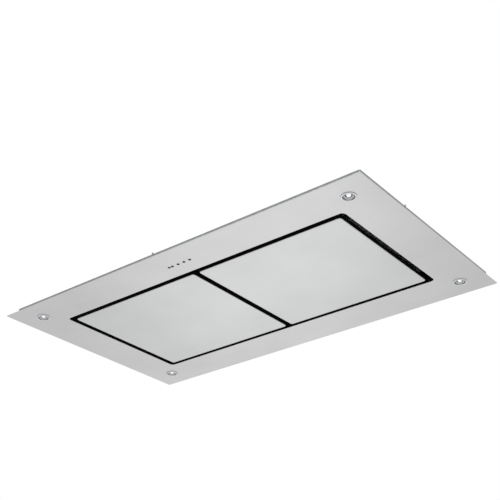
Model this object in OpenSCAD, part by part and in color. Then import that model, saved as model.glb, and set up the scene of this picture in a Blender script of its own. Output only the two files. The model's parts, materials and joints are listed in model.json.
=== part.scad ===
// Ceiling range hood with perimeter suction: a flat steel plate with two hinged suction panels,
// a flat suction box above it, and a fan housing with an upward duct spigot.
// Millimetres, +Z up. The origin is the centre of the four hanging holes, on top of their brackets.
// Heights below are measured from the visible underside of the ceiling plate.

/* [Ceiling plate] */
// Length of the plate along X
plate_l = 1200; // [1160:10:1300]
// Width of the plate along Y
plate_w = 700; // [680:10:800]
// Thickness of the plate's stainless sheet
plate_t = 2; // [1.5:0.1:2.5]
// Corner radius of the plate
plate_r = 2; // [1:0.5:6]
// Distance from the plate's short edge to the suction opening
opening_inset_x = 124; // [120:1:150]
// Distance from the plate's long edge to the suction opening
opening_inset_y = 123; // [120:1:135]
// Corner radius of the suction opening
opening_r = 12; // [8:1:26]

/* [Collar] */
// Distance from the plate's short edges to the collar
collar_inset_x = 15.5; // [13:0.5:24]
// Distance from the plate's long edges to the collar
collar_inset_y = 27; // [20:1:28]
// Height of the collar's top
collar_h = 28; // [20:1:30]
// Sheet thickness of the collar
collar_t = 1.2; // [0.8:0.1:1.6]
// Width of the collar's foot on the plate
collar_foot = 12; // [12:1:14]
// Width of the collar's upper lip
collar_lip = 6; // [4:1:10]
// Width of a retaining tab on the collar
tab_w = 5; // [4:1:12]
// Thickness of a retaining tab
tab_t = 1.5; // [1:0.1:2]
// Height of a retaining tab's tip
tab_h = 32; // [30:1:40]

/* [Suction box] */
// Space between the opening's edge and the box wall
box_gap = 5; // [4:0.5:8]
// Sheet thickness of the box and its lid
box_t = 1; // [0.8:0.1:1.5]
// Height of the lid's top
box_h = 78; // [74:1:86]
// Width of the box's foot on the plate
box_foot = 18; // [14:1:20]
// Width of the lip that carries the lid
box_lip = 14; // [12:1:18]
// Thickness of the black recess liner
liner_t = 1; // [0.8:0.1:1.5]

/* [Suction panels] */
// Slot between a panel's outer end and the opening
end_gap = 19; // [15:0.5:21]
// Slot between a panel's long side and the opening
side_gap = 16; // [10:0.5:18]
// Slot between the two panels
middle_gap = 18; // [10:0.5:20]
// How far the panels' faces hang below the plate
panel_drop = 1.7; // [1:0.1:3]
// Depth of a panel
panel_h = 13; // [11:0.5:14]
// Sheet thickness of a panel's face
panel_t = 1; // [0.8:0.1:1.2]
// Corner radius of a panel
panel_r = 7; // [5:1:16]
// Sheet thickness of a panel's black back
back_t = 0.8; // [0.6:0.1:1.2]

/* [Panel hinges] */
// Radius of the hinge pins
pin_r = 2; // [1.5:0.1:2.5]
// Height of the hinge pins
pin_z = 18; // [17.5:0.5:19]
// Distance from a panel's outer end to its pins
pin_inset = 5; // [5:0.5:8]
// Distance from a panel's long side to its hinges
hinge_inset = 41; // [32:1:90]
// Thickness of a hinge leaf's ear
leaf_t = 2; // [1.5:0.1:3]
// Thickness of a hinge bracket
hinge_t = 2.5; // [2:0.1:3]

/* [Filters] */
// Height of the filter carrier above the plate's face
carrier_z = 49; // [47:0.5:52]
// Sheet thickness of the filter carrier
carrier_t = 1.2; // [0.8:0.1:1.5]
// Width of the carrier's border round the filters
carrier_rim = 26; // [22:1:40]
// Thickness of a grease filter
filter_h = 8.5; // [8:0.5:9.5]
// Width of the filter frame's lips
filter_lip = 20; // [12:1:24]
// Pitch of the pleats in the filter
pleat_pitch = 11; // [8:0.5:16]
// Width of the crossbar between the filters
crossbar_w = 56; // [52:1:60]
// Travel of a filter latch
latch_travel = 6; // [5:0.5:7]

/* [Spot lamps] */
// Distance from the plate's short edge to a lamp
lamp_inset_x = 76; // [74:1:78]
// Distance from the plate's long edge to a lamp
lamp_inset_y = 72; // [69:1:74]
// Outer radius of a lamp's bezel
bezel_r = 20; // [18.5:0.5:21]
// How far a bezel stands below the plate
bezel_drop = 2.2; // [1.5:0.1:3]
// Radius of a lamp's barrel
barrel_r = 16.5; // [15.5:0.5:17]
// Radius of a lamp's lens
lens_r = 9; // [8:0.5:10]
// Height of a lamp's heat sink top
lamp_h = 28; // [24:1:30]

/* [Push buttons] */
// Distance from the plate's long edge to the button row
button_inset = 72; // [66:1:74]
// Pitch of the buttons
button_pitch = 20; // [17:0.5:22]
// Distance from the receiver window to the first button
receiver_pitch = 11; // [11:0.5:14]
// Radius of a button
button_r = 3.75; // [3:0.25:4]
// How far a button stands below the plate
button_drop = 0.8; // [0.4:0.1:1.2]
// Travel of a button
button_travel = 1.2; // [0.8:0.1:1.4]

/* [Hanging brackets] */
// Height of the brackets' top, which is the origin's height
hang_z = 62; // [58:1:70]
// Thickness of a bracket
hang_t = 3; // [2:0.5:4]
// Width of a bracket along Y
hang_w = 40; // [30:1:50]
// Distance from the box wall to a hanging hole
hang_reach = 23; // [18:1:26]
// Distance from the box's long side to the hanging holes
hang_inset = 53; // [43:1:90]
// Radius of a hanging hole, for an M8 rod
hang_hole_r = 4.5; // [4:0.1:5.5]

/* [Fan] */
// Space between the fan housing and the box's far side
fan_inset = 30; // [26:1:36]
// Inner length of the fan housing
fan_l = 510; // [500:5:540]
// Inner width of the fan housing
fan_w = 300; // [280:2:304]
// Height of the fan housing above the box
fan_h = 98; // [94:1:104]
// Sheet thickness of the fan housing
fan_t = 1; // [0.8:0.1:1.5]
// Width of the housing's foot on the box
fan_foot = 14; // [12:1:16]
// Outer radius of the impeller
impeller_r = 105; // [96:1:112]
// Number of impeller blades
blade_count = 9; // [7:1:11]
// Radius of the fan inlet
inlet_r = 66; // [60:1:70]
// Radius of the motor
motor_r = 42; // [38:1:44]

/* [Duct spigot] */
// Outer radius of the spigot, for a 150 mm duct
spigot_r = 74.5; // [70:0.5:76]
// Wall thickness of the spigot
spigot_t = 1.5; // [1.2:0.1:2.5]
// Height of the spigot above the fan housing
spigot_h = 60; // [50:1:80]
// Distance along X from the impeller to the spigot
spigot_reach = 280; // [270:5:285]
// Radius of the pin that carries the flaps
flap_pin_r = 2; // [1.5:0.1:2.5]
// Thickness of a non-return flap
flap_t = 1.2; // [1:0.1:1.6]

/* [Electronics] */
// Length of the electronics box along X
case_l = 150; // [140:5:155]
// Width of the electronics box along Y
case_w = 120; // [110:5:130]
// Height of the electronics box
case_h = 40; // [36:1:46]
// Wall thickness of the electronics box
case_t = 2; // [1.5:0.1:2.5]
// Radius of the mains cable that the gland takes
cable_r = 4; // [3:0.5:5]
// Radius of the inner wiring
lead_r = 2.5; // [2:0.1:2.6]

/* [Hidden] */
$fn = 64;

// Colours as the photograph shows them, or as such parts are usually finished
steel = "#C9CACB";
panel_steel = "#CDCFD0";
galvanised = "#A9AEB2";
black = "#141414";
filter_metal = "#B9BCC0";
polished = "#DADCDE";
dark_plastic = "#26282A";
white_lens = "#F4F6F8";
board_green = "#2F6B45";

// One overrun for every cut, and the clearances that all pieces share
cut = 1;
running = 0.05;
pressed = 0.02;
play = 0.3;
least_r = 0.3;

// Derived heights and places
fan_end = 130;
opening_l = plate_l - 2 * opening_inset_x;
opening_w = plate_w - 2 * opening_inset_y;
box_l = opening_l + 2 * box_gap;
box_w = opening_w + 2 * box_gap;
box_out_l = box_l + 2 * box_t;
box_out_w = box_w + 2 * box_t;
box_corner_r = 3;
liner_l = box_l - 2 * play;
liner_w = box_w - 2 * play;
panel_l = (opening_l - 2 * end_gap - middle_gap) / 2;
panel_w = opening_w - 2 * side_gap;
panel_x = middle_gap / 2 + panel_l / 2;
panel_top = panel_h - panel_drop;
pin_x = opening_l / 2 - end_gap - pin_inset;
hinge_y = panel_w / 2 - hinge_inset;
lamp_x = plate_l / 2 - lamp_inset_x;
lamp_y = plate_w / 2 - lamp_inset_y;
lamp_at = [[-lamp_x, -lamp_y], [lamp_x, -lamp_y], [lamp_x, lamp_y], [-lamp_x, lamp_y]];
button_count = 4;
control_y = -(plate_w / 2 - button_inset);
receiver_x = -(receiver_pitch + (button_count - 1) * button_pitch) / 2;
hang_y = box_out_w / 2 - hang_inset;
fan_z = box_h + fan_h;
fan_top = fan_z + fan_t;
case_z = box_h + case_h;

// The electronics box and the fan housing share the lid's length. These shares of what they leave free
// lie at the lid's -X end and between the two.
case_end_share = 15 / 137;
fan_gap_share = 31 / 137;
fan_out_l = fan_l + 2 * (fan_t + fan_foot);
free_l = box_out_l - case_l - fan_out_l;
case_x = -box_out_l / 2 + free_l * case_end_share + case_l / 2;
fan_cx = case_x + case_l / 2 + free_l * fan_gap_share + fan_out_l / 2;
fan_x = fan_cx - fan_l / 2 + fan_end;
fan_y = box_out_w / 2 - fan_inset - fan_t - fan_w / 2;
spigot_x = fan_x + spigot_reach;

// Fasteners
screw_r = 1.9;
screw_hole_r = 2.1;
head_r = 3.6;
head_h = 2.2;
hex_r = 1.5;
hex_depth = 1.2;
stud_r = 2;
nut_r = 4.2;
nut_h = 3.5;
stud_top = 6.5;
rivet_r = 2.4;
rivet_head_r = 4.4;
rivet_head_h = 1.8;
rivet_dx_share = 0.3;

// Collar
collar_r = 4;
tab_long_x = 54;
tab_short_y = 118;
tab_foot = 8;

// Hinges, in the plane square to the pin, with the pin at zero
eye_r = 5;
leaf_l = 34;
leaf_w = 18;
leaf_base_t = 1.5;
arm_top = 20;
arm_under = 11;
arm_notch = 8;
arm_notch_x = 10;
hinge_foot_w = 18;
hinge_foot_t = 1.5;
pin_head_r = 3.4;
pin_head_t = 1.2;
pin_tail = 0.5;

// Panel catches
catch_x = 10.5;
catch_inset = 91;
catch_y = panel_w / 2 - catch_inset;
magnet_l = 14;
magnet_w = 24;
strike_t = 1;

// Filters and their latches
ledge_w = 12;
ledge_t = 1;
filter_end = 1.5;
filter_side = 2;
filter_play = 0.25;
filter_wall = 1;
filter_lip_t = 0.8;
filter_r = 6;
lip_corner_r = 0.5;
pleat_t = 0.7;
pocket_l = 44;
pocket_w = 60;
window_near = 14;
window_far = 27;
window_w = 32;
latch_near = 3;
latch_l = 16;
latch_w = 50;
tongue_w = 15;
tongue_out = 4.8;
tongue_low = 2.8;
tongue_high = 5.7;
grip_l = 3.5;
grip_w = 28;
grip_drop = 2.6;
crossbar_t = 1.2;
crossbar_z = 16;

// Lamps
barrel_play = 0.5;
cone_front_r = 15.4;
cone_back_r = 9.4;
cone_h = 5;
barrel_top = 10;
lens_dome = 1.6;
lens_t = 2.4;
fin_count = 4;
fin_core_r = 11;
fin_share = 0.5;
clip_reach = 11;
clip_w = 7;
clip_t = 0.6;
clip_top = 9;

// Buttons and their housing
button_play = 0.3;
button_flange_r = 4.9;
button_flange_t = 1;
chamber_r = 5.3;
chamber_h = 2.8;
button_cap_h = plate_t + play + button_flange_t;
stem_r = 2;
stem_l = 4.3;
guide_t = 1.5;
housing_l = 104;
housing_w = 30;
housing_t = 1.8;
housing_h = 14;
housing_ear = 12;
housing_ear_t = 2;
plug_h = 7;
board_t = 1.6;
board_rest = 1.2;
switch_w = 6;
switch_h = 2.6;
plunger_r = 1.6;
sensor_r = 1.8;

// Fan, motor and spigot
inlet_play = 2;
inlet_h = 26;
inlet_flare = 14;
inlet_t = 1.2;
shroud_t = 1.5;
shroud_gap = 2;
impeller_h = 54;
blade_t = 1.6;
blade_sweep = 48;
blade_steps = 8;
blade_inner_share = 0.68;
hub_r = 15;
hub_h = 18;
shaft_r = 5;
shaft_l = 48;
motor_gap = 3;
motor_cap_r = 34;
motor_cap_h = 20;
motor_rib_count = 12;
motor_rib_w = 3;
motor_rib_h = 2.5;
flange_t = 1.5;
flange_w = 15;
flange_screws = 4;
seat_z = 12;
seat_w = 4;
seat_t = 2;
knuckle_r = 4;
knuckle_gap = 0.8;
knuckle_ends = [1, 30, 31, 60];
flap_play = 1.5;

// Electronics
cover_t = 2;
boss_r = 4;
case_screw_l = 10;
board_gap = 4;
terminal_l = 76;
terminal_w = 16;
terminal_h = 14;
plug_w = 10;
coil_r = 16;
part_l = 44;
part_w = 26;
part_h = 18;
gland_hex_r = 11;
gland_nut_r = 9.5;
gland_hex_h = 5;
gland_thread_r = 7;
gland_l = 20;
gland_nut_h = 4;
lead_z = 10;
lead_step = 6;
lead_y = 22;
lead_dy = 12;
bend_share = 1.08;
control_lead_x = 20;
control_in_y = -(lead_y + 2 * lead_dy);
motor_lead_y = 36;
motor_lead_rise = 7;
lead_stand = 6;
lead_in = 7;

// Screw and stud places: n along a line of the given length, round a rectangle's border, and on a circle
function row(n, length) = [for (i = [0 : n - 1]) (i - (n - 1) / 2) * length / n];
function ring_of(n, centre, r) = [for (i = [0 : n - 1])
    centre + r * [cos(360 / n * (i + 1 / 2)), sin(360 / n * (i + 1 / 2))]];
function border(nx, ny, l, w) = concat(
    [for (x = row(nx, l), s = [-1, 1]) [x, s * w / 2]],
    [for (y = row(ny, w), s = [-1, 1]) [s * l / 2, y]]);
foot_studs = border(6, 3, box_out_l + box_foot, box_out_w + box_foot);
collar_l = plate_l - 2 * collar_inset_x;
collar_w = plate_w - 2 * collar_inset_y;
collar_studs = border(8, 4, collar_l - collar_foot, collar_w - collar_foot);
lid_screws = border(6, 3, box_l - box_lip, box_w - box_lip);
fan_foot_screws = [for (x = row(5, fan_l), s = [-1, 1])
    [fan_cx + x, fan_y + s * (fan_w / 2 + fan_t + fan_foot / 2)]];
fan_lid_screws = [for (p = border(5, 2, fan_l - box_lip, fan_w - box_lip))
    [fan_cx + p[0], fan_y + p[1]]];
spigot_screws = ring_of(flange_screws, [spigot_x, fan_y], spigot_r + flange_w / 2);
inlet_screws = ring_of(flange_screws, [fan_x, fan_y], inlet_r + inlet_flare * 3 / 2);
case_screws = [for (x = [-1, 1], y = [-1, 1])
    [case_x + x * (case_l - case_t) / 2 - x * boss_r, y * (case_w - case_t) / 2 - y * boss_r]];
case_floor_screws = [for (s = [-1, 1]) [case_x + s * case_l / 4, 0]];
housing_studs = [for (s = [-1, 1]) [s * (housing_l + housing_ear) / 2, control_y]];
lead_in_z = box_h + case_t + board_gap + lead_in;
case_lead_ys = concat([for (s = [-1, 1], y = [lead_y, lead_y + lead_dy]) s * y], [control_in_y]);

// Puts the plate's underside below the origin, which is on top of the hanging brackets
module hung() {
    translate([0, 0, -hang_z]) children();
}

module rounded_rect(l, w, r) {
    square([l - 2 * r, w], center = true);
    square([l, w - 2 * r], center = true);
    for (x = [-1, 1], y = [-1, 1])
        translate([x * (l / 2 - r), y * (w / 2 - r)]) circle(r);
}

module frame_outline(l, w, r, rim) {
    difference() {
        rounded_rect(l, w, r);
        rounded_rect(l - 2 * rim, w - 2 * rim, max(r - rim, least_r));
    }
}

// A layer of sheet from height z, t thick
module layer(z, t) {
    translate([0, 0, z]) linear_extrude(t) children();
}

// Round holes through everything
module holes(points, r, z, depth) {
    for (p = points)
        translate([p[0], p[1], z - cut]) cylinder(r = r, h = depth + 2 * cut);
}

// A profile in the X-Z plane, t thick along Y, from y up
module upright(y, t) {
    translate([0, y + t, 0]) rotate([90, 0, 0]) linear_extrude(t) children();
}

module pan_screw(grip) {
    difference() {
        union() {
            cylinder(r = screw_r, h = grip);
            translate([0, 0, grip]) cylinder(r = head_r, h = head_h);
        }
        translate([0, 0, grip + head_h - hex_depth]) cylinder(r = hex_r, h = hex_depth + cut, $fn = 6);
    }
}

module stud_and_nut(grip) {
    cylinder(r = stud_r, h = grip + stud_top);
    translate([0, 0, grip]) cylinder(r = nut_r, h = nut_h, $fn = 6);
}

// Ceiling plate and collar

module ceiling_plate() {
    color(steel) hung() difference() {
        layer(0, plate_t) difference() {
            rounded_rect(plate_l, plate_w, plate_r);
            rounded_rect(opening_l, opening_w, opening_r);
        }
        holes(lamp_at, barrel_r + barrel_play, 0, plate_t);
        holes([for (i = [0 : button_count]) [control_x(i), control_y]],
            button_r + button_play, 0, plate_t);
    }
}

module collar_frame() {
    color(galvanised) hung() difference() {
        union() {
            layer(plate_t, collar_h - plate_t) frame_outline(collar_l, collar_w, collar_r, collar_t);
            layer(plate_t, collar_t) frame_outline(collar_l, collar_w, collar_r, collar_foot);
            layer(collar_h - collar_t, collar_t) frame_outline(collar_l, collar_w, collar_r, collar_lip);
        }
        holes(collar_studs, stud_r + pressed, plate_t, collar_t);
    }
}

// Four upright tabs with a folded foot, two on the long sides and two on the short sides
module collar_tabs() {
    color(galvanised) hung() for (s = [-1, 1]) {
        translate([s * tab_long_x, s * collar_w / 2, 0])
            rotate([0, 0, 90 * (1 + s)]) collar_tab();
        translate([s * collar_l / 2, -s * tab_short_y, 0])
            rotate([0, 0, 90 * s]) collar_tab();
    }
}

// One tab, standing outside a collar wall that faces -Y
module collar_tab() {
    translate([-tab_w / 2, -tab_t, plate_t]) cube([tab_w, tab_t, tab_h - plate_t]);
    translate([-tab_w / 2, -tab_foot, plate_t]) cube([tab_w, tab_foot, tab_t]);
}

// Suction box

module suction_box() {
    top = box_h - box_t;
    color(galvanised) hung() difference() {
        union() {
            layer(plate_t, top - plate_t) frame_outline(box_out_l, box_out_w, box_corner_r, box_t);
            layer(plate_t, box_t)
                frame_outline(box_out_l + 2 * box_foot, box_out_w + 2 * box_foot, box_corner_r,
                    box_foot + box_t);
            layer(top - box_t, box_t) frame_outline(box_out_l, box_out_w, box_corner_r, box_lip + box_t);
        }
        holes(foot_studs, stud_r + pressed, plate_t, box_t);
        holes(lid_screws, screw_hole_r, top - box_t, box_t);
        rivet_places() rotate([0, 90, 0]) cylinder(r = rivet_r + pressed, h = 2 * hang_t, center = true);
    }
}

module suction_box_lid() {
    color(galvanised) hung() difference() {
        layer(box_h - box_t, box_t) rounded_rect(box_out_l, box_out_w, box_corner_r);
        translate([fan_x, fan_y, box_h - box_t - cut]) cylinder(r = inlet_r + inlet_flare, h = box_t + 2 * cut);
        holes(concat(lid_screws, fan_foot_screws, inlet_screws, case_floor_screws), screw_hole_r,
            box_h - box_t, box_t);
    }
}

// Black liner of the recess, with the ledges that carry the filters' outer ends
module recess_liner() {
    color(black) hung() {
        layer(plate_t, carrier_z - plate_t) frame_outline(liner_l, liner_w, box_corner_r, liner_t);
        for (s = [-1, 1])
            translate([s * (liner_l / 2 - liner_t - ledge_w / 2), 0, filter_bottom() - ledge_t / 2])
                cube([ledge_w, liner_w - 2 * liner_t, ledge_t], center = true);
    }
}

module filter_carrier() {
    window_l = liner_l / 2 - crossbar_w / 2 - 2 * carrier_rim;
    window_x = crossbar_w / 2 + carrier_rim + window_l / 2;
    color(black) hung() layer(carrier_z, carrier_t) difference() {
        rounded_rect(liner_l, liner_w, box_corner_r);
        for (s = [-1, 1])
            translate([s * window_x, 0]) rounded_rect(window_l, liner_w - 2 * carrier_rim, filter_r);
    }
}

// Black channel across the opening, which shows between the panels and keeps the filter latches
module crossbar() {
    length = liner_w - 2 * liner_t;
    web_h = carrier_z - crossbar_z;
    slot_z = filter_bottom() + tongue_low - play;
    color(black) hung() difference() {
        translate([-crossbar_w / 2, -length / 2, crossbar_z]) cube([crossbar_w, length, web_h]);
        translate([-crossbar_w / 2 + crossbar_t, -length / 2 - cut, crossbar_z + crossbar_t])
            cube([crossbar_w - 2 * crossbar_t, length + 2 * cut, web_h]);
        translate([-crossbar_w / 2 - cut, -tongue_w / 2 - play, slot_z])
            cube([crossbar_w + 2 * cut, tongue_w + 2 * play, tongue_high - tongue_low + 2 * play]);
    }
}

module catch_magnets() {
    z = panel_top + strike_t + play;
    color(dark_plastic) hung() for (sx = [-1, 1], sy = [-1, 1])
        translate([sx * (middle_gap / 2 + catch_x) - magnet_l / 2, sy * catch_y - magnet_w / 2, z])
            cube([magnet_l, magnet_w, crossbar_z - z]);
}

// Suction panels. The left one is on the -X side.

module panel_face(side) {
    translate([side * panel_x, 0, 0]) difference() {
        layer(-panel_drop, panel_h) rounded_rect(panel_l, panel_w, panel_r);
        layer(panel_t - panel_drop, panel_h)
            rounded_rect(panel_l - 2 * panel_t, panel_w - 2 * panel_t, panel_r - panel_t);
    }
}

module left_panel_face() {
    color(panel_steel) hung() panel_face(-1);
}

module right_panel_face() {
    color(panel_steel) hung() panel_face(1);
}

// The back sits inside the face's rim, and stands on folded edges down to the face
module panel_back(side) {
    rim = panel_t + pressed;
    translate([side * panel_x, 0, 0]) {
        layer(panel_top - back_t, back_t)
            rounded_rect(panel_l - 2 * rim, panel_w - 2 * rim, panel_r - rim);
        layer(panel_t - panel_drop, panel_h - panel_t - back_t)
            frame_outline(panel_l - 2 * rim, panel_w - 2 * rim, panel_r - rim, back_t);
    }
}

module left_panel_back() {
    color(black) hung() panel_back(-1);
}

module right_panel_back() {
    color(black) hung() panel_back(1);
}

// Panel hinges. Each hinge has its ear towards the middle and its bracket outside it.

module hinge_places(side) {
    for (sy = [-1, 1])
        mirror([0, sy < 0 ? 1 : 0, 0]) mirror([side < 0 ? 1 : 0, 0, 0])
            translate([pin_x, hinge_y, pin_z]) children();
}

module hinge_leaf() {
    base = panel_top - pin_z;
    difference() {
        union() {
            translate([eye_r - leaf_l, leaf_t - leaf_w, base]) cube([leaf_l, leaf_w, leaf_base_t]);
            upright(0, leaf_t) {
                circle(eye_r);
                translate([-eye_r, base]) square([2 * eye_r, -base]);
            }
        }
        translate([0, -cut, 0]) rotate([-90, 0, 0]) cylinder(r = pin_r + running, h = leaf_t + 2 * cut);
    }
}

module left_hinge_leaves() {
    color(galvanised) hung() hinge_places(-1) hinge_leaf();
}

module right_hinge_leaves() {
    color(galvanised) hung() hinge_places(1) hinge_leaf();
}

module hinge_bracket() {
    wall_x = liner_l / 2 - liner_t - pin_x;
    y = leaf_t + play;
    difference() {
        union() {
            upright(y, hinge_t) {
                circle(eye_r);
                polygon([[-eye_r, 0], [-eye_r, arm_top], [wall_x, arm_top], [wall_x, arm_under],
                    [arm_notch_x, arm_under], [eye_r, arm_notch], [eye_r, 0]]);
            }
            translate([wall_x - hinge_foot_t, y, arm_under])
                cube([hinge_foot_t, hinge_foot_w, arm_top - arm_under]);
        }
        translate([0, y - cut, 0]) rotate([-90, 0, 0]) cylinder(r = pin_r + pressed, h = hinge_t + 2 * cut);
    }
}

module hinge_brackets() {
    color(black) hung() for (side = [-1, 1]) hinge_places(side) hinge_bracket();
}

module hinge_pin() {
    rotate([-90, 0, 0]) {
        translate([0, 0, -play]) cylinder(r = pin_r, h = play + leaf_t + play + hinge_t + pin_tail);
        translate([0, 0, -play - pin_head_t]) cylinder(r = pin_head_r, h = pin_head_t);
    }
}

module hinge_pins() {
    color(polished) hung() for (side = [-1, 1]) hinge_places(side) hinge_pin();
}

module strike_plates(side) {
    for (sy = [-1, 1])
        translate([side * (middle_gap / 2 + catch_x) - magnet_l / 2, sy * catch_y - magnet_w / 2, panel_top])
            cube([magnet_l, magnet_w, strike_t]);
}

module left_strike_plates() {
    color(galvanised) hung() strike_plates(-1);
}

module right_strike_plates() {
    color(galvanised) hung() strike_plates(1);
}

// Grease filters. Each is drawn with its inner end at x = 0 and its underside at z = 0.

function filter_bottom() = carrier_z - filter_h - filter_play;
function filter_start() = crossbar_w / 2 + filter_end;
function filter_l() = liner_l / 2 - liner_t - filter_side - filter_start();
function filter_w() = liner_w - 2 * liner_t - 2 * filter_side;

module filter_place(side) {
    hung() mirror([side < 0 ? 1 : 0, 0, 0]) translate([filter_start(), 0, filter_bottom()]) children();
}

module filter_frame() {
    inner_h = filter_h - 2 * filter_lip_t;
    difference() {
        union() {
            difference() {
                translate([filter_l() / 2, 0, 0])
                    layer(0, filter_h) rounded_rect(filter_l(), filter_w(), filter_r);
                translate([filter_l() / 2, 0, 0]) {
                    layer(filter_lip_t, inner_h)
                        rounded_rect(filter_l() - 2 * filter_wall, filter_w() - 2 * filter_wall,
                            filter_r - filter_wall);
                    layer(-cut, filter_h + 2 * cut)
                        rounded_rect(filter_l() - 2 * filter_lip, filter_w() - 2 * filter_lip, lip_corner_r);
                }
            }
            difference() {
                translate([0, -pocket_w / 2, 0]) cube([pocket_l, pocket_w, filter_h]);
                translate([filter_wall, filter_wall - pocket_w / 2, filter_lip_t])
                    cube([pocket_l - 2 * filter_wall, pocket_w - 2 * filter_wall, inner_h]);
            }
        }
        translate([window_near, -window_w / 2, -cut])
            cube([window_far - window_near, window_w, filter_lip_t + cut + play]);
        translate([-cut, -tongue_w / 2 - play, tongue_low - play])
            cube([filter_wall + 2 * cut, tongue_w + 2 * play, tongue_high - tongue_low + 2 * play]);
    }
}

module left_filter_frame() {
    color(filter_metal) filter_place(-1) filter_frame();
}

module right_filter_frame() {
    color(filter_metal) filter_place(1) filter_frame();
}

// The pleated aluminium mesh, as one folded sheet that leaves room for the latch pocket
module filter_mesh() {
    z0 = filter_lip_t;
    rise = filter_h - 2 * z0 - pleat_t;
    x0 = filter_wall + filter_play;
    folds = floor((filter_l() - 2 * x0) / pleat_pitch);
    step = (filter_l() - 2 * x0) / folds;
    w = filter_w() - 2 * filter_wall - 2 * filter_play;
    low = [for (i = [0 : 2 * folds]) [x0 + i * step / 2, z0 + (i % 2) * rise]];
    high = [for (i = [0 : 2 * folds]) low[2 * folds - i] + [0, pleat_t]];
    difference() {
        upright(-w / 2, w) polygon(concat(low, high));
        translate([-cut, -pocket_w / 2 - filter_play, -cut])
            cube([pocket_l + cut + filter_play, pocket_w + 2 * filter_play, filter_h + 2 * cut]);
        for (sx = [0, 1], sy = [-1, 1])
            translate([sx * filter_l(), sy * filter_w() / 2, filter_h / 2])
                cube([2 * filter_r, 2 * filter_r, 2 * filter_h], center = true);
    }
}

module left_filter_mesh() {
    color(filter_metal) filter_place(-1) filter_mesh();
}

module right_filter_mesh() {
    color(filter_metal) filter_place(1) filter_mesh();
}

// Sliding latch: its tongue reaches through the frame into the crossbar, its grip hangs below
module filter_latch() {
    low = filter_lip_t + play;
    translate([latch_near, -latch_w / 2, low]) cube([latch_l, latch_w, filter_h - 2 * low]);
    translate([-tongue_out, -tongue_w / 2, tongue_low])
        cube([tongue_out + latch_near, tongue_w, tongue_high - tongue_low]);
    translate([latch_near + latch_l - grip_l, -grip_w / 2, -grip_drop])
        cube([grip_l, grip_w, grip_drop + low]);
}

module left_filter_latch() {
    color(dark_plastic) filter_place(-1) filter_latch();
}

module right_filter_latch() {
    color(dark_plastic) filter_place(1) filter_latch();
}

// Spot lamps

module lamp_bezel(i) {
    edge = bezel_drop / 3;
    color(polished) hung() translate([lamp_at[i][0], lamp_at[i][1], 0]) rotate_extrude()
        polygon([[cone_back_r, cone_h], [cone_front_r, -bezel_drop + edge],
            [cone_front_r + edge, -bezel_drop], [bezel_r - edge, -bezel_drop],
            [bezel_r, -bezel_drop + edge], [bezel_r, 0], [barrel_r, 0], [barrel_r, barrel_top],
            [cone_back_r, barrel_top]]);
}

module lamp_bezel_1() { lamp_bezel(0); }
module lamp_bezel_2() { lamp_bezel(1); }
module lamp_bezel_3() { lamp_bezel(2); }
module lamp_bezel_4() { lamp_bezel(3); }

// A lens with a flat back and a domed front, held in the back of the cone
module lamp_lens(i) {
    ball_r = (lens_r * lens_r + lens_dome * lens_dome) / (2 * lens_dome);
    color(white_lens) hung() translate([lamp_at[i][0], lamp_at[i][1], cone_h]) {
        cylinder(r = lens_r, h = lens_t);
        intersection() {
            translate([0, 0, ball_r - lens_dome]) sphere(ball_r);
            translate([0, 0, -lens_dome - cut]) cylinder(r = lens_r, h = lens_dome + cut + lens_t / 2);
        }
    }
}

module lamp_lens_1() { lamp_lens(0); }
module lamp_lens_2() { lamp_lens(1); }
module lamp_lens_3() { lamp_lens(2); }
module lamp_lens_4() { lamp_lens(3); }

// Finned heat sinks that stand on the bezels' barrels
module lamp_bodies() {
    pitch = (lamp_h - barrel_top) / fin_count;
    color(filter_metal) hung() for (p = lamp_at) translate([p[0], p[1], barrel_top]) {
        cylinder(r = fin_core_r, h = lamp_h - barrel_top);
        for (i = [0 : fin_count - 1])
            translate([0, 0, i * pitch]) cylinder(r = barrel_r, h = pitch * fin_share);
    }
}

// Two leaf springs on each lamp, which press the bezel up against the plate
module lamp_clips() {
    r = barrel_r;
    color(galvanised) hung() for (p = lamp_at, s = [0, 180])
        translate([p[0], p[1], 0]) rotate([0, 0, s]) upright(-clip_w / 2, clip_w)
            polygon([[r, clip_top], [r + clip_t, clip_top], [r + clip_t, clip_top - clip_t],
                [r + clip_reach, plate_t], [r + clip_reach - clip_t, plate_t], [r, clip_top - 2 * clip_t]]);
}

// Push buttons, with the receiver window as place 0 of the row

function control_x(i) = receiver_x + (i > 0 ? receiver_pitch + (i - 1) * button_pitch : 0);

module button_form() {
    translate([0, 0, -button_drop]) cylinder(r = button_r, h = button_drop + button_cap_h);
    translate([0, 0, plate_t + play]) cylinder(r = button_flange_r, h = button_flange_t);
    cylinder(r = stem_r, h = button_cap_h + stem_l);
}

module push_button(i) {
    color(dark_plastic) hung() translate([control_x(i), control_y, 0]) button_form();
}

module button_1() { push_button(1); }
module button_2() { push_button(2); }
module button_3() { push_button(3); }
module button_4() { push_button(4); }

// The window's flange is held between the plate and the housing
module receiver_window() {
    color(dark_plastic) hung() translate([control_x(0), control_y, 0]) {
        translate([0, 0, -button_drop]) cylinder(r = button_r, h = button_drop + plate_t + button_flange_t);
        translate([0, 0, plate_t]) cylinder(r = button_flange_r, h = chamber_h);
    }
}

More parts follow.
